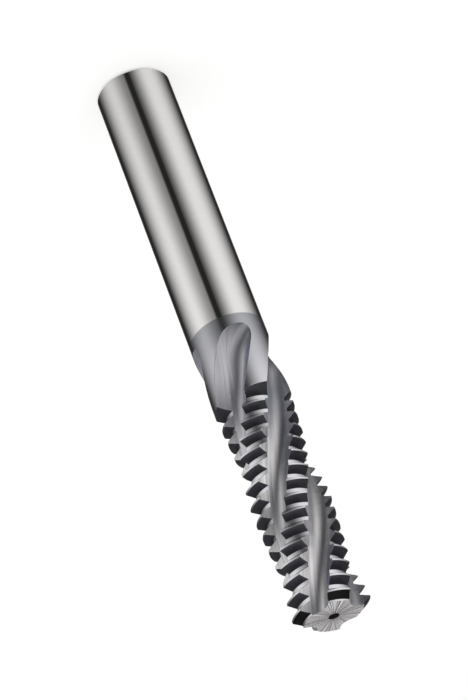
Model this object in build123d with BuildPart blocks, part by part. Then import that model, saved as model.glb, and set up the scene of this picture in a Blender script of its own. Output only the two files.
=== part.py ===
from build123d import *
import os
from math import cos, degrees, radians, sin, sqrt, tan

# Solid carbide thread mill, ground from one rod.
# It stands on its shank end at z = 0 and its axis is +Z, up to the cutting end.
# Sizes are in millimetres and angles in degrees.
overall_length = 82.4
shank_diameter = 10.0
shank_chamfer = 0.4
coolant_bore_diameter = 1.4

# The thread form, a metric 60 degree profile cut as closed rings
cutting_diameter = 9.95
thread_pitch = 2.0
thread_angle = 60.0
tooth_count = 15
shoulder_angle = 34.0

# The flutes, right-hand helical
flute_count = 4
flute_length = 40.4
helix_angle = 26.5
rake_angle = 3.5
flute_floor = 2.48
flute_corner_radius = 1.25
heel_start = 2.3
heel_lean = 11.0
shank_heel_lean = 3.4
heel_change = 4.0

# The lands, relieved behind the cutting edge about a shifted centre. The step between the arcs
# of two lands lies this share of the way from one edge to the next.
relief_shift = 0.72
step_share = 2 / 9

# The run-out, where the grinding wheel left the shank. Its lofted sections go a little past its end.
runout_radius = 14.0
runout_turn = 12.0
runout_edge_turn = 3.5
runout_steps = 6
runout_spacing = 0.7
past_end = 0.4

# How far the solid of a flute goes past the rod: out from the axis, as a share of the shank's
# diameter, and its back, as a share of that reach
reach_share = 0.75
back_share = 1.3

shank_radius = shank_diameter / 2
cutting_radius = cutting_diameter / 2
crest_flat = thread_pitch / 8
root_flat = thread_pitch / 4
flank_run = (thread_pitch - crest_flat - root_flat) / 2
tooth_depth = flank_run / tan(radians(thread_angle / 2))
root_radius = cutting_radius - tooth_depth
land_turn = 360 / flute_count
helix_rate = degrees(tan(radians(helix_angle)) / cutting_radius)


def edge_angle(z):
    """Angle of the first cutting edge at height z: it is 0 at the end face."""
    return helix_rate * (z - overall_length)


def polar(radius, angle):
    return (radius * cos(radians(angle)), radius * sin(radians(angle)))


# The ring teeth. Each land is an arc about a centre shifted ahead of its cutting edge, so
# that the radius falls behind the edge. The steps between arcs lie where the flutes are cut.
ahead = land_turn * step_share
behind = land_turn - ahead


def land_radius(radius, turn):
    """Distance from the axis of a land whose edge is at radius, turn degrees ahead of it."""
    return relief_shift * sin(radians(turn)) + sqrt(
        radius**2 + (relief_shift * sin(radians(turn))) ** 2
    )


def land_section(z, radius):
    """Lobed cross section of all lands at height z."""
    arcs = []
    for land in range(flute_count):
        edge = edge_angle(z) + land * land_turn
        turns = [ahead, (ahead - behind) / 2, -behind]
        arcs.append([polar(land_radius(radius, t), edge + t) for t in turns])
    with BuildSketch(Plane.XY.offset(z)) as section:
        with BuildLine():
            for land, arc in enumerate(arcs):
                ThreePointArc(*arc)
                Line(arc[-1], arcs[land - 1][0])
        make_face()
    return section.sketch


first_root = overall_length - tooth_count * thread_pitch - root_flat / 2
shoulder_rise = shank_radius + relief_shift - root_radius
shoulder_base = first_root - shoulder_rise * tan(radians(shoulder_angle))

# The round blank. The seam of its surface lies in a flute where the shoulder begins.
from_base = (Align.CENTER, Align.CENTER, Align.MIN)
seam = edge_angle(shoulder_base) + land_turn / 4

with BuildPart() as blank:
    Cylinder(shank_radius, overall_length, rotation=(0, 0, seam), align=from_base)
    chamfer(blank.faces().sort_by(Axis.Z)[0].edges(), shank_chamfer)

with BuildPart() as shoulder:
    loft([land_section(shoulder_base, root_radius + shoulder_rise), land_section(first_root, root_radius)])
    add(blank.part, mode=Mode.INTERSECT)

levels = [(first_root, root_radius)]
for tooth in range(tooth_count, 0, -1):
    groove = overall_length - tooth * thread_pitch
    levels.append((groove + root_flat / 2, root_radius))
    levels.append((groove + thread_pitch / 2 - crest_flat / 2, cutting_radius))
    levels.append((groove + thread_pitch / 2 + crest_flat / 2, cutting_radius))
    levels.append((groove + thread_pitch - root_flat / 2, root_radius))
levels.append((overall_length, root_radius))

with BuildPart() as teeth:
    loft([land_section(z, radius) for z, radius in levels], ruled=True)


# One flute, as the solid that is ground away, lofted through cross sections along the helix.
# In each section x points out through the floor and y points ahead of the cutting edge.
reach = shank_diameter * reach_share
full_lift = shank_radius - flute_floor
runout_length = sqrt(runout_radius**2 - (runout_radius - full_lift) ** 2)
runout_start = overall_length - flute_length + runout_length


def flute_section(z):
    """Outline of a flute at height z: wall, rounded corner, floor, heel and two outer sides."""
    into = max(runout_start - z, 0.0)
    lift = runout_radius - sqrt(runout_radius**2 - into**2)
    turn = runout_turn * lift
    edge_turn = runout_edge_turn * into / runout_length - turn
    radius = cutting_radius if into == 0 else shank_radius
    floor = flute_floor + lift
    toothed = min(max((z - shoulder_base) / heel_change + 1, 0.0), 1.0)
    lean = shank_heel_lean + (heel_lean - shank_heel_lean) * toothed
    wall_x, wall_y = polar(radius, edge_turn)
    wall_slope = tan(radians(rake_angle))
    top = heel_start + reach
    points = [
        (reach, wall_y + (reach - wall_x) * wall_slope),
        (floor, wall_y + (floor - wall_x) * wall_slope),
        (floor, heel_start),
        (floor + reach * tan(radians(lean)), top),
        (reach * back_share, top),
    ]
    plane = Plane.XY.offset(z).rotated((0, 0, edge_angle(z) + turn))
    with BuildSketch(plane) as section:
        with BuildLine():
            FilletPolyline(*points, radius=[0, flute_corner_radius, 0, 0, 0], close=True)
        make_face()
    return section.sketch


# The sections stand one pitch apart, in the middle of the crests, the first above the end face.
# Those of the run-out draw together towards its end.
heights = [overall_length + thread_pitch / 2]
while heights[-1] - thread_pitch > runout_start + thread_pitch / 2:
    heights.append(heights[-1] - thread_pitch)
heights.append(runout_start)
for step in range(1, runout_steps + 1):
    share = step / (runout_steps - past_end)
    heights.append(runout_start - runout_length * share**runout_spacing)

with BuildPart() as flute:
    loft([flute_section(z) for z in heights], ruled=True)

with BuildPart() as thread_mill:
    add(blank.part)
    split(bisect_by=Plane.XY.offset(shoulder_base), keep=Keep.BOTTOM)
    add(shoulder.part)
    add(teeth.part)
    with PolarLocations(0, flute_count):
        add(flute.part, mode=Mode.SUBTRACT)
    Cylinder(coolant_bore_diameter / 2, overall_length, align=from_base, mode=Mode.SUBTRACT)

os.makedirs("parts", exist_ok=True)
thread_mill.part.label = "thread_mill"
export_step(thread_mill.part, "parts/thread_mill.step")
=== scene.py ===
import bpy
import numpy as np
from math import cos, radians, sin, tan
from mathutils import Matrix, Vector


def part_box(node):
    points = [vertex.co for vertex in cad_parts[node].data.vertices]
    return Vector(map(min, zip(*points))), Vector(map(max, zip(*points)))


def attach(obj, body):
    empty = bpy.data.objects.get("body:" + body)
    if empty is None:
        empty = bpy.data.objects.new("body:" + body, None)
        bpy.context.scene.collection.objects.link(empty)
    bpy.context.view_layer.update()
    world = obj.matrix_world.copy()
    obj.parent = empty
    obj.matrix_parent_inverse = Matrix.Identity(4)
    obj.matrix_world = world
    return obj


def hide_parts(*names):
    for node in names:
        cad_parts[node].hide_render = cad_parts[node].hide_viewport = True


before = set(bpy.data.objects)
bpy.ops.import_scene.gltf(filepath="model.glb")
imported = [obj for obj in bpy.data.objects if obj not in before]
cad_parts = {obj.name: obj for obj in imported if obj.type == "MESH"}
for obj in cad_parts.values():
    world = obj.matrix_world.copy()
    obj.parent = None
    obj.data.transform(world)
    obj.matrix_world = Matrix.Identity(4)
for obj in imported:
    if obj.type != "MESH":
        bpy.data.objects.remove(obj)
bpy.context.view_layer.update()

# The camera stands 31 degrees above the horizon, and is rolled until the cutting end points down
# and a little to the right. Its place is in metres, and its focal length in the picture's pixels.
camera_place = Vector((0.360105, -0.013241, 0.255801))
azimuth = radians(-2.07)
elevation = radians(30.589)
roll = radians(20.961)
focal_length = 3324
picture_height = 700
far_limit = 5

back = Vector((cos(elevation) * cos(azimuth), cos(elevation) * sin(azimuth), sin(elevation)))
tip_way = (Vector((0, 0, 1)) - back * back.z).normalized()
side_way = back.cross(tip_way)
right = sin(roll) * tip_way + cos(roll) * side_way
up = sin(roll) * side_way - cos(roll) * tip_way
camera_data = bpy.data.cameras.new("camera")
camera_data.lens = focal_length / picture_height * camera_data.sensor_width
camera_data.clip_end = far_limit
camera = bpy.data.objects.new("camera", camera_data)
bpy.context.collection.objects.link(camera)
camera.matrix_world = Matrix((
    (right.x, up.x, back.x, camera_place.x),
    (right.y, up.y, back.y, camera_place.y),
    (right.z, up.z, back.z, camera_place.z),
    (0, 0, 0, 1),
))
bpy.context.scene.camera = camera


# The thread mill is one rod of sintered carbide: a polished shank, and a cutting end ground with
# fifteen closed ring teeth and four helical flutes. A grey nitride coating covers the cutting end
# and runs a little way up the shank. Its sizes are in millimetres and degrees.
mm = 0.001
mill_low, mill_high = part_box("thread_mill")
overall_length = (mill_high[2] - mill_low[2]) / mm
shank_radius = (mill_high[0] - mill_low[0]) / 2 / mm
shank_chamfer = 0.4
bore_radius = 0.7
edge_break = 0.02

cutting_radius = shank_radius - 0.025
thread_pitch = 2.0
thread_angle = 60.0
tooth_count = 15
shoulder_angle = 34.0
relief_shift = 0.72
land_heel = -38.0
land_middle = -20.0

flute_count = 4
flute_length = 40.4
helix_angle = 26.5
rake_angle = 3.5
flute_floor = 2.48
corner_radius = 1.25
heel_start = 2.3
tooth_heel_lean = 11.0
shank_heel_lean = 3.4
heel_change = 4.0
runout_radius = 14.0
runout_turn = 12.0
runout_edge_turn = 3.5

# The inner corner of a flute is softer than the solid's, and softer still in the run-out, by
# this much for each millimetre that the floor has lifted.
soft_corner_radius = 1.7
soft_corner_growth = 1.4

crest_flat = thread_pitch / 8
root_flat = thread_pitch / 4
flank_run = (thread_pitch - crest_flat - root_flat) / 2
root_radius = cutting_radius - flank_run / tan(radians(thread_angle / 2))
land_turn = 360 / flute_count
helix_rate = np.degrees(tan(radians(helix_angle)) / cutting_radius)
rake = radians(rake_angle)
full_lift = shank_radius - flute_floor
runout_length = np.sqrt(runout_radius**2 - (runout_radius - full_lift) ** 2)
runout_start = overall_length - flute_length + runout_length
runout_end = runout_start - runout_length
first_root = overall_length - tooth_count * thread_pitch - root_flat / 2
shoulder_rise = shank_radius + relief_shift - root_radius
shoulder_slope = tan(radians(shoulder_angle))
shoulder_base = first_root - shoulder_rise * shoulder_slope

# The outline of the rod in a plane through its axis: heights and radii of its corners, first
# those of the shank, then those of the shoulder and the thread
shank_corners = [(0.0, shank_radius - shank_chamfer), (shank_chamfer, shank_radius)]
thread = [(shoulder_base, root_radius + shoulder_rise), (first_root, root_radius)]
for tooth in range(tooth_count, 0, -1):
    groove = overall_length - tooth * thread_pitch
    thread.append((groove + root_flat / 2, root_radius))
    thread.append((groove + thread_pitch / 2 - crest_flat / 2, cutting_radius))
    thread.append((groove + thread_pitch / 2 + crest_flat / 2, cutting_radius))
    thread.append((groove + thread_pitch - root_flat / 2, root_radius))
thread.append((overall_length, root_radius))


def edge_angle(z):
    """Angle of the first cutting edge at height z: it turns evenly, and is 0 at the end face."""
    return helix_rate * (z - overall_length)


def land_radius(radius, turn):
    """Relieved land: a circle about a centre shifted ahead of its edge, at turn degrees from it."""
    shift = relief_shift * np.sin(np.radians(turn))
    return shift + np.sqrt(radius**2 + shift**2)


def rod_radius(z, turn):
    """Radius before the flutes are cut: the thread's outline, relieved, but never over the shank's."""
    shank = np.interp(z, *np.transpose(shank_corners))
    toothed = land_radius(np.interp(z, *np.transpose(thread)), turn)
    return np.where(z > shoulder_base, np.minimum(shank, toothed), shank)


def shank_outline(middle_x, middle_y, corner):
    """Where a circle of radius corner about the middle crosses the shank's, nearer to the wall.

    The line through both crossings stands square to the line from the axis to the middle, along
    millimetres from the axis, and each crossing lies off millimetres to one side.
    """
    apart = np.hypot(middle_x, middle_y)
    along = (shank_radius**2 - corner**2 + apart**2) / (2 * apart)
    off = np.sqrt(np.clip(shank_radius**2 - along**2, 0, None))
    return (along * middle_x + off * middle_y) / apart, (along * middle_y - off * middle_x) / apart


def flute_point(z, s):
    """Point of a flute's outline at height z, as angle from the cutting edge and radius.

    s runs over its four stretches: 0 to 1 is the wall, a line through the cutting edge that leans
    by the rake, 1 to 2 the corner's arc, 2 to 3 the flat floor, and 3 to 4 the heel, a line that
    leans out. The frame has x out through the floor and y ahead of the edge. In the run-out it
    turns, and the floor lifts along an arc, as a wheel leaves the rod. There the softer corner is
    moved until it meets the shank's surface where the solid's corner does.
    """
    into = np.clip(runout_start - z, 0, runout_length)
    lift = runout_radius - np.sqrt(runout_radius**2 - into**2)
    turn = runout_turn * lift
    floor = flute_floor + lift
    toothed = np.clip((z - shoulder_base) / heel_change + 1, 0, 1)
    lean = np.radians(shank_heel_lean + (tooth_heel_lean - shank_heel_lean) * toothed)

    edge_turn = np.radians(runout_edge_turn * into / runout_length - turn)
    edge_radius = np.where(into > 0, shank_radius, cutting_radius)
    edge_x = edge_radius * np.cos(edge_turn)
    edge_y = edge_radius * np.sin(edge_turn)
    corner_y = edge_y + (floor - edge_x) * np.tan(rake)

    half_corner = np.tan((np.pi / 2 - rake) / 2)
    rim_x, rim_y = shank_outline(
        floor + corner_radius, corner_y + corner_radius / half_corner, corner_radius
    )
    on_arc = rim_x < floor + corner_radius * (1 - np.sin(rake))
    rim_x = np.where(on_arc, rim_x, edge_x)
    rim_y = np.where(on_arc, rim_y, edge_y)
    corner = soft_corner_radius + soft_corner_growth * lift
    short = np.clip(floor + corner - rim_x, 0, corner)
    tangent = corner / half_corner
    corner_y = np.minimum(corner_y, rim_y + np.sqrt(corner**2 - short**2) - tangent)

    outside = shank_radius + 1
    wall_end = floor + tangent * np.cos(rake)
    wall_x = outside + (wall_end - outside) * np.clip(s, 0, 1)
    wall_y = corner_y + (wall_x - floor) * np.tan(rake)
    around = 1.5 * np.pi + rake - (np.pi / 2 + rake) * np.clip(s - 1, 0, 1)
    arc_x = floor + corner + corner * np.cos(around)
    arc_y = corner_y + tangent + corner * np.sin(around)
    floor_y = corner_y + tangent + (heel_start - corner_y - tangent) * np.clip(s - 2, 0, 1)
    heel_rise = np.clip(s - 3, 0, 1) * shank_radius
    stretches = [s <= 1, s <= 2, s <= 3]
    x = np.select(stretches, [wall_x, arc_x, floor], floor + heel_rise * np.tan(lean))
    y = np.select(stretches, [wall_y, arc_y, floor_y], heel_start + heel_rise)
    return turn + np.degrees(np.arctan2(y, x)), np.hypot(x, y)


def crossing(z, inside, outside, land, depth):
    """Where a flute's outline comes within depth of the rod's surface, found by halving.

    It lies between s = inside and s = outside. land is 0 for the land behind the flute and
    land_turn for the one ahead of it.
    """
    for halving in range(40):
        middle = (inside + outside) / 2
        angle, radius = flute_point(z, middle)
        under = radius < rod_radius(z, angle - land) - depth
        inside = np.where(under, middle, inside)
        outside = np.where(under, outside, middle)
    return inside


# Heights of the grid's rows, in a first layout where the shoulder's top is level. Each corner of
# the rod's outline has a row on each side of it, row_gap away, which breaks the edge. The rows
# of a run-out draw together towards its end.
row_gap = edge_break * 0.6
shoulder_level = 51.25
shank_rows = np.linspace(shank_chamfer + 1, runout_end - 0.5, 8)
runout_rows = runout_end + runout_length * np.linspace(0, 1, 61) ** 2
shoulder_rows = np.concatenate((
    np.linspace(runout_start + 0.3, shoulder_level - row_gap, 5),
    np.linspace(shoulder_level + row_gap, first_root - 0.2, 4),
))
thread_heights = np.array([z for z, radius in thread[1:]])
between = (thread_heights[1:] + thread_heights[:-1]) / 2
thread_rows = np.sort(np.concatenate((thread_heights - row_gap, thread_heights + row_gap, between)))
row_heights = np.concatenate((
    [row_gap, shank_chamfer - row_gap, shank_chamfer + row_gap], shank_rows, runout_rows,
    shoulder_rows, thread_rows[thread_rows < overall_length],
))

# Columns of one quarter: a land from its heel to its edge, then the flute ahead of it
land_columns = 23
stretch_steps = (7, 9, 8, 9)
land_share = np.linspace(0, 1, land_columns)
stretch = np.concatenate([np.full(n + 1, i) for i, n in enumerate(stretch_steps)])
stretch_share = np.concatenate([np.linspace(0, 1, n + 1) for n in stretch_steps])
from_edge = np.concatenate((1 - land_share, np.linspace(0, 1, len(stretch))))
quarter_columns = len(from_edge)

# The shoulder meets the round shank along a line that climbs from heel to edge, because the
# lands are relieved. The rows beside it bend to follow it.
land_shift = relief_shift * np.sin(np.radians(land_heel * from_edge))
shoulder_top = first_root - shoulder_slope * (
    np.sqrt(shank_radius**2 - 2 * shank_radius * land_shift) - root_radius
)
z = row_heights[:, None] + np.zeros(quarter_columns)
below_share = np.clip((z - runout_start) / (shoulder_level - runout_start), 0, 1)
above_share = np.clip((first_root - z) / (first_root - shoulder_level), 0, 1)
z = z + (shoulder_top - shoulder_level) * np.minimum(below_share, above_share)

# Where each flute's outline leaves the rod, on the edge's side and on the heel's. The grid stops
# short of it by a depth that breaks the edge, and that fades out where the flute does.
samples = np.linspace(0, 4, 161)[:, None, None]
sampled = flute_point(z, samples)[1]
bottom = samples[sampled.argmin(axis=0), 0, 0]
flute_depth = rod_radius(z, land_middle) - sampled.min(axis=0)
depth = np.clip(flute_depth * 0.3, 0, edge_break)
edge = flute_point(z, crossing(z, bottom, 0.0, 0, 0.0))[0]
heel = flute_point(z, crossing(z, bottom, 4.0, land_turn, 0.0))[0]
first_s = crossing(z, bottom, 0.0, 0, depth)[:, land_columns:]
last_s = crossing(z, bottom, 4.0, land_turn, depth)[:, land_columns:]

# The land's columns run from one broken edge to the other, and those of the flute along its
# four stretches. Below the run-outs the rod is round.
margin = np.degrees(depth / shank_radius)[:, :land_columns]
low_angle = heel[:, :land_columns] - land_turn + margin
high_angle = edge[:, :land_columns] - margin
land_angle = low_angle + (high_angle - low_angle) * land_share
low_s = np.clip(first_s, stretch, stretch + 1)
high_s = np.clip(last_s, stretch, stretch + 1)
s = np.clip(low_s + (high_s - low_s) * stretch_share, first_s, last_s)
flute_angle, flute_radius = flute_point(z[:, land_columns:], s)
turn = np.concatenate((land_angle, flute_angle), axis=1)
radius = np.concatenate((rod_radius(z[:, :land_columns], land_angle), flute_radius), axis=1)
radius = np.where(z <= runout_end, rod_radius(z, 0.0), radius)
angle = turn + edge_angle(np.maximum(z, runout_end))

# Such quarters go round the rod. The closing rows are the end face's rim and hole, the bore,
# which turns back as far as the flutes turned, and the hole and rim of the shank's end.
quarters = [angle + land_turn * quarter for quarter in range(flute_count)]
angle = np.concatenate((*quarters, angle[:, :1] + 360), axis=1)
radius = np.concatenate((*[radius] * flute_count, radius[:, :1]), axis=1)
z = np.concatenate((*[z] * flute_count, z[:, :1]), axis=1)
top_angle = np.maximum.accumulate(angle[-1:], axis=1)
base_angle = angle[:1]
bore_share = np.linspace(0, 1, 29)[:, None]
rings = (
    (angle, radius, z),
    (angle[-1:], radius[-1:] - row_gap, overall_length),
    (top_angle, bore_radius + row_gap, overall_length),
    (
        top_angle + (base_angle - top_angle) * bore_share,
        bore_radius,
        overall_length - row_gap + (2 * row_gap - overall_length) * bore_share,
    ),
    (base_angle, bore_radius + row_gap, 0.0),
    (base_angle, shank_radius - shank_chamfer, 0.0),
    (base_angle, radius[:1], z[:1]),
)
rings = [np.broadcast_arrays(*ring) for ring in rings]
angle, radius, z = [np.concatenate(parts) for parts in zip(*rings)]
points = np.stack((radius * np.cos(np.radians(angle)), radius * np.sin(np.radians(angle)), z), axis=-1)

# The grid's corners that fall on one point are made one, and the triangles that this flattens
# are left out.
spots, spot_of = np.unique(np.round(points.reshape(-1, 3) * mm, 8), axis=0, return_inverse=True)
spot_of = spot_of.reshape(points.shape[:2])
a, b, c, d = spot_of[:-1, :-1], spot_of[:-1, 1:], spot_of[1:, 1:], spot_of[1:, :-1]
triangles = np.concatenate((np.stack((a, b, c), -1), np.stack((a, c, d), -1))).reshape(-1, 3)
whole = (triangles != np.roll(triangles, 1, axis=1)).all(axis=1)
triangles = triangles[whole]

# Each stretch of the grid is ground in its own way, so each has its own finish: 0 the round
# shank, crests and roots, 1 the flanks of the teeth, whose darkness is painted shade, 2 the flutes
# and 3 the end face. The flanks are steeper than the broken edges beside them, in radius for height.
flank_steepness = 1.2
steepness = np.abs(np.diff(np.interp(row_heights, *np.transpose(thread))) / np.diff(row_heights))
flank_rows = (steepness > flank_steepness) & (row_heights[:-1] > shoulder_level)
column = np.arange(a.shape[1]) % quarter_columns
in_land = column < land_columns - 1
in_flute = (column >= land_columns) & (column < quarter_columns - 1)
ground = np.zeros(a.shape, int)
ground[:len(flank_rows)] = flank_rows[:, None] & in_land
ground[:len(row_heights)][:, in_flute] = 2
ground[len(row_heights)] = 3
finish_of = np.concatenate((ground.ravel(), ground.ravel()))[whole]

# The map runs along the rod, and across each flute by about the lengths of its four stretches,
# in millimetres. The lands lie to the left of the flutes.
stretch_lengths = (2.2, 1.9, 1.2, shank_radius)
land_offset = 10
across_flute = np.interp(s, np.arange(5), np.cumsum((0, *stretch_lengths)))
across_land = np.radians(land_angle) * shank_radius - land_offset
across = np.concatenate((across_land, across_flute), axis=1)
across = np.concatenate((*[across] * flute_count, across[:, :1]), axis=1)
across = across[np.minimum(np.arange(points.shape[0]), len(row_heights) - 1)]
layout = np.stack((across, z), axis=-1)
a, b, c, d = layout[:-1, :-1], layout[:-1, 1:], layout[1:, 1:], layout[1:, :-1]
layout = np.concatenate((np.stack((a, b, c), -2), np.stack((a, c, d), -2))).reshape(-1, 3, 2)[whole]

mill_mesh = bpy.data.meshes.new("coated_thread_mill")
mill_mesh.from_pydata(spots.tolist(), [], triangles.tolist())
mill_mesh.polygons.foreach_set("material_index", finish_of.astype(np.int32))
mill_mesh.uv_layers.new(name="grinding").data.foreach_set("uv", layout.astype(np.float32).ravel())
mill_mesh.update()
mill_mesh.set_sharp_from_angle(angle=radians(24))
mill = bpy.data.objects.new("coated_thread_mill", mill_mesh)
bpy.context.collection.objects.link(mill)


class Finish:
    """The nodes of a material or of the world, which is built up by calls."""

    def __init__(self, owner):
        owner.use_nodes = True
        self.tree = owner.node_tree
        self.tree.nodes.clear()

    def node(self, kind, settings=None, sockets=None, output=0):
        """Adds a node: its settings are made first, then its sockets get values or links."""
        made = self.tree.nodes.new("ShaderNode" + kind)
        for name, value in (settings or {}).items():
            setattr(made, name, value)
        for name, value in (sockets or {}).items():
            if isinstance(value, Value):
                self.tree.links.new(value.socket, made.inputs[name])
            else:
                made.inputs[name].default_value = value
        return Value(self, made.outputs[output]) if len(made.outputs) else made

    def parts(self, vector):
        """The three parts of a vector, as numbers."""
        split = self.node("SeparateXYZ", sockets={0: vector})
        return [Value(self, part) for part in split.socket.node.outputs]

    def scaled(self, vector, scales):
        """A vector with each part multiplied by its own scale."""
        return self.node("VectorMath", {"operation": "MULTIPLY"}, {0: vector, 1: scales})

    def mix(self, share, low, high):
        """Mixes two colours: low where share is 0 and high where it is 1."""
        # The node has sockets of each kind, and 6, 7 and output 2 are those for colours.
        return self.node("Mix", {"data_type": "RGBA"}, {0: share, 6: low, 7: high}, 2)

    def smooth(self, value, span, levels=(0.0, 1.0)):
        """Goes from one level to the other along an S, while value goes through the span."""
        sockets = {0: value, 1: span[0], 2: span[1], 3: levels[0], 4: levels[1]}
        return self.node("MapRange", {"interpolation_type": "SMOOTHSTEP"}, sockets)

    def noise(self, vector, scale, detail, roughness=0.5):
        """Soft irregular spots, scale of them to a unit of the vector, about a middle of 0.5."""
        sockets = {"Vector": vector, "Scale": scale, "Detail": detail, "Roughness": roughness}
        return self.node("TexNoise", sockets=sockets)


class Value:
    """What a socket gives over the surface. On a number, Python's operators add Math nodes."""

    def __init__(self, finish, socket):
        self.finish = finish
        self.socket = socket

    def math(self, operation, first, second=0.0):
        """Adds a Math node for two numbers, one of which is this one."""
        return self.finish.node("Math", {"operation": operation}, {0: first, 1: second})

    def __add__(self, other):
        return self.math("ADD", self, other)

    def __radd__(self, other):
        return self.math("ADD", other, self)

    def __sub__(self, other):
        return self.math("SUBTRACT", self, other)

    def __rsub__(self, other):
        return self.math("SUBTRACT", other, self)

    def __mul__(self, other):
        return self.math("MULTIPLY", self, other)

    def __rmul__(self, other):
        return self.math("MULTIPLY", other, self)

    def __abs__(self):
        return self.math("ABSOLUTE", self)


def shade(level, tint):
    """A colour of this brightness and tint."""
    return tuple(level * part for part in tint) + (1.0,)


# The round surfaces. The shank is bare polished carbide. The coating starts at a sharp line, a
# little tilted, as the tool leaned in its tray, and is thin and dark beside the line. Places and
# widths in the finishes are in metres.
coat_start = 0.04075
coat_tilt_x = 0.0424
coat_tilt_y = -0.0263
bare_colour = (0.88, 0.875, 0.87, 1.0)
thin_coat = shade(0.465, (0.957, 0.981, 1.06))
full_coat = shade(0.80, (0.972, 0.982, 1.045))
bare_roughness = 0.05
coat_roughness = 0.24

round_carbide = bpy.data.materials.new("polished_and_coated_carbide")
finish = Finish(round_carbide)
place = finish.node("TexCoord", output="Object")
x, y, height = finish.parts(place)
past_line = height - coat_start + x * coat_tilt_x + y * coat_tilt_y
coated = finish.smooth(past_line, (-0.0001, 0.0001))
thickness = finish.smooth(past_line, (-0.002, 0.014))
cloud = finish.noise(place, 260.0, 3.0) - 0.5
coat_colour = finish.mix(thickness + cloud * 0.2, thin_coat, full_coat)
roughness = coated * (coat_roughness - bare_roughness) + bare_roughness + cloud * 0.03
shader = finish.node("BsdfPrincipled", sockets={
    "Base Color": finish.mix(coated, bare_colour, coat_colour),
    "Metallic": 1.0,
    "Roughness": roughness,
})
finish.node("OutputMaterial", sockets={"Surface": shader})

# The flanks of the teeth. Their dark colour is painted shade, for the dark that they face, with a fine
# grain, and it is painted nearly black on the first tooth, which starts three quarters of a pitch from
# the end face.
flank_tint = (0.94, 0.955, 1.12)
dark_grain = shade(0.065, flank_tint)
light_grain = shade(0.108, flank_tint)
# Painted shade: the first tooth's flank is coloured nearly black.
first_flank_painted_shade = shade(0.012, (1.0, 1.0, 1.0))
first_tooth = (overall_length - 0.75 * thread_pitch) * mm

flank_painted_shade = bpy.data.materials.new("flank_coating_painted_shade")
finish = Finish(flank_painted_shade)
place = finish.node("TexCoord", output="Object")
height = finish.parts(place)[2]
grain = finish.noise(place, 2600.0, 2.0)
# This mask lays the deeper painted shade on the first tooth, which no tooth beside it lights.
first_flank_shade_mask = finish.smooth(height, (first_tooth - 0.0001, first_tooth + 0.0001))
# The flanks' base colour is painted shade over the same coating as the rest of the cutting end.
flank_shade_colour = finish.mix(grain, dark_grain, light_grain)
shader = finish.node("BsdfPrincipled", sockets={
    "Base Color": finish.mix(first_flank_shade_mask, flank_shade_colour, first_flank_painted_shade),
    "Metallic": 0.5,
    "Roughness": 0.35,
    "Specular IOR Level": 0.25,
})
finish.node("OutputMaterial", sockets={"Surface": shader})

# The flutes. The wheel left fine lines and broad bands along them, which read the mesh's map in
# millimetres across and along. The coating is warmer and brighter above the shoulder than in
# the run-outs, and its fine grain gives it a trace of blue haze.
flute_dark = shade(0.36, (0.94, 0.975, 1.08))
runout_light = shade(0.78, (0.995, 0.98, 1.02))
tooth_light = shade(0.88, (1.03, 0.985, 0.96))
haze_tint = (0.1, 0.42, 1.0, 1.0)
line_scale = (4.5, 0.10, 0.0)
band_scale = (1.6, 0.08, 0.0)
shoulder_span = (50.0, 62.0)

flute_coat = bpy.data.materials.new("ground_flute_coating")
finish = Finish(flute_coat)
grinding = finish.node("UVMap")
lines = finish.noise(finish.scaled(grinding, line_scale), 1.0, 3.0, 0.6)
bands = finish.noise(finish.scaled(grinding, band_scale), 1.0, 2.0)
toothed = finish.smooth(finish.parts(grinding)[1], shoulder_span)
mark = (lines - 0.5) * 0.9 + (bands - 0.5) * (toothed * 0.9 + 0.4) + 0.5
flute_light = finish.mix(toothed, runout_light, tooth_light)
shader = finish.node("BsdfPrincipled", sockets={
    "Base Color": finish.mix(mark, flute_dark, flute_light),
    "Metallic": 1.0,
    "Roughness": 0.42 - mark * 0.10,
    "Sheen Weight": 0.07,
    "Sheen Roughness": 1.0,
    "Sheen Tint": haze_tint,
    "Normal": finish.node("Bump", sockets={"Height": lines, "Strength": 0.15, "Distance": 0.00002}),
})
finish.node("OutputMaterial", sockets={"Surface": shader})

# The end face. It is bare, ground last, from the rim to the bore, so its lines run like spokes:
# they come from noise along a circle, which is the same from the bore to the rim.
spoke_dark = (0.34, 0.33, 0.35, 1.0)
spoke_light = (1.0, 0.985, 1.0, 1.0)
spoke_scale = 20.0

face_carbide = bpy.data.materials.new("ground_end_face")
finish = Finish(face_carbide)
x, y, height = finish.parts(finish.node("TexCoord", output="Object"))
from_axis = finish.node("CombineXYZ", sockets={"X": x, "Y": y})
spoke = finish.node("VectorMath", {"operation": "NORMALIZE"}, {0: from_axis})
lines = finish.noise(spoke, spoke_scale, 2.0, 0.6)
mark = finish.smooth(lines, (0.41, 0.59))
shader = finish.node("BsdfPrincipled", sockets={
    "Base Color": finish.mix(mark, spoke_dark, spoke_light),
    "Metallic": 1.0,
    "Roughness": 0.34 - mark * 0.1,
    "Normal": finish.node("Bump", sockets={"Height": lines, "Strength": 0.6, "Distance": 0.0001}),
})
finish.node("OutputMaterial", sockets={"Surface": shader})

for material in (round_carbide, flank_painted_shade, flute_coat, face_carbide):
    mill_mesh.materials.append(material)
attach(mill, "root")
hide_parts("thread_mill")


# The floor is a wide sheet of matt white paper, laid flat, with its reach in metres. Its own
# light keeps it white in the picture, and is weak enough that the tool's shadow shows. The
# metal doesn't show it, because the studio below gives what the metal reflects.
floor_reach = 2
paper_colour = (0.85, 0.85, 0.85, 1.0)
paper_glow = 0.48

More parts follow.
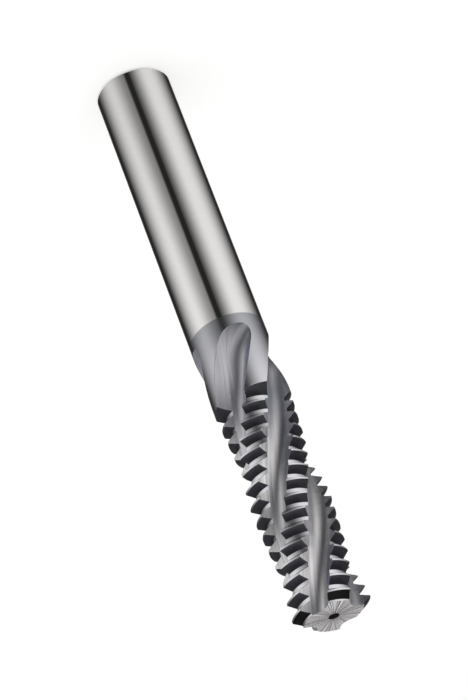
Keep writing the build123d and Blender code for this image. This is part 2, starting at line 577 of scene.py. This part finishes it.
floor_mesh = bpy.data.meshes.new("floor")
floor_corners = np.array([(-1, -1, 0), (1, -1, 0), (1, 1, 0), (-1, 1, 0)]) * floor_reach
floor_mesh.from_pydata(floor_corners.tolist(), [], [(0, 1, 2, 3)])
floor = bpy.data.objects.new("floor", floor_mesh)
bpy.context.collection.objects.link(floor)
floor.visible_glossy = False
paper = bpy.data.materials.new("paper")
finish = Finish(paper)
matt = finish.node("BsdfDiffuse", sockets={"Color": paper_colour})
camera_ray = finish.node("LightPath", output="Is Camera Ray")
glow = finish.node("Emission", sockets={"Strength": camera_ray * paper_glow})
finish.node("OutputMaterial", sockets={"Surface": finish.node("AddShader", sockets={0: matt, 1: glow})})
floor_mesh.materials.append(paper)


# The studio is a dark room with two tall soft boxes and a narrow gap between them, in front of
# the tool. It is laid out by compass, which is degrees to the left of the tool's front, and by
# rise, which is 1 straight up, 0 at the horizon and -1 straight down.
box_colour = (1.014, 1.0, 0.985, 1.0)
room_light = 0.019
half_turn = radians(180)

world = bpy.data.worlds.new("studio")
bpy.context.scene.world = world
finish = Finish(world)
x, y, rise = finish.parts(finish.node("TexCoord", output="Generated"))
from_front = finish.node("Math", {"operation": "ARCTAN2"}, {0: y, 1: x}) - azimuth
compass = finish.node("Math", {"operation": "WRAP"}, {0: from_front, 1: half_turn, 2: -half_turn})
compass = compass * (180 / half_turn)
opposite = 0.0 - compass
either_way = abs(compass)

# The left box has a sharp edge at the gap, which leans away from it higher up. The box grows
# brighter away from the gap and towards its top.
lean = finish.smooth(rise, (-0.47, -0.1), (0.0, 22.0))
left_box = finish.smooth(compass - lean, (5.0, 14.0), (0.0, 0.24))
left_box += finish.smooth(compass - lean, (10.0, 64.0), (0.0, 0.58))
left_box *= finish.smooth(compass, (62.0, 140.0), (1.0, 0.0))
left_box *= finish.smooth(rise, (-0.80, -0.46), (0.08, 1.02))
left_box *= finish.smooth(rise, (-0.4, 0.1), (1.08, 1.5))

# The right box is brighter, starts softly at the gap and is dimmer again near its top.
right_box = finish.smooth(opposite, (0.0, 58.0), (0.0, 0.86))
right_box *= finish.smooth(opposite, (4.0, 9.0))
right_box *= finish.smooth(opposite, (66.0, 146.0), (1.0, 0.0))
right_box *= finish.smooth(rise, (-0.94, -0.44), (0.08, 1.04))
right_box *= finish.smooth(rise, (-0.36, 0.05), (1.0, 1.6))
right_box *= finish.smooth(rise, (0.05, 0.3), (1.0, 0.5))

# A third box stands over the left one, and a faint light fills the gap above its lowest part.
upper_box = finish.smooth(compass, (-25.0, 30.0), (0.25, 0.68))
upper_box *= finish.smooth(abs(compass - 30.0), (60.0, 110.0), (1.0, 0.0))
upper_box *= finish.smooth(rise, (0.03, 0.25))
gap = finish.smooth(abs(compass - 4.0), (14.0, 40.0), (0.07, 0.0))
gap *= finish.smooth(rise, (-0.50, -0.36))
boxes = (left_box + right_box + upper_box + gap) * finish.smooth(rise, (0.25, 0.56), (1.0, 0.06))

# Weaker lights stand behind the tool: a low band, a strip below it and a window above it.
low_band = finish.smooth(either_way, (98.0, 130.0), (0.0, 0.34))
low_band *= finish.smooth(rise, (-0.42, -0.26))
low_band *= finish.smooth(rise, (-0.2, -0.04), (1.0, 0.0))
back_strip = finish.smooth(either_way, (152.0, 172.0), (0.0, 0.26))
back_strip *= finish.smooth(rise, (-0.46, -0.36), (1.0, 0.0))
back_strip *= finish.smooth(rise, (-0.86, -0.72))
window = finish.smooth(either_way, (145.0, 160.0))
window *= finish.smooth(abs(rise - 0.53), (0.10, 0.36), (0.76, 0.0))

# The ceiling and the bench below give the views from above something to reflect.
ceiling = finish.smooth(rise, (0.70, 0.92), (0.0, 0.40))
bench = finish.smooth(either_way, (100.0, 135.0), (0.0, 0.6))
bench *= finish.smooth(rise, (-0.86, -0.72), (1.0, 0.0))

# The camera sees a white backdrop in place of the room.
strength = boxes + low_band + back_strip + window + ceiling + bench + room_light
light = finish.node("Background", sockets={"Color": box_colour, "Strength": strength})
backdrop = finish.node("Background", sockets={"Strength": 1.0})
camera_ray = finish.node("LightPath", output="Is Camera Ray")
shown = finish.node("MixShader", sockets={0: camera_ray, 1: light, 2: backdrop})
finish.node("OutputWorld", sockets={"Surface": shown})


# The lamp is a broad soft panel over the tool, in metres and watts. It lights the floor and casts
# the shadow at the tool's foot, and the metal doesn't reflect it.
lamp_place = (0.1, 0.0, 0.6)
lamp_size = 0.8
lamp_power = 2

lamp_data = bpy.data.lights.new("overhead", "AREA")
lamp_data.energy = lamp_power
lamp_data.size = lamp_size
lamp = bpy.data.objects.new("overhead", lamp_data)
lamp.matrix_world = Matrix.Translation(lamp_place)
lamp.visible_glossy = False
bpy.context.collection.objects.link(lamp)

bpy.context.scene.view_settings.view_transform = "Standard"
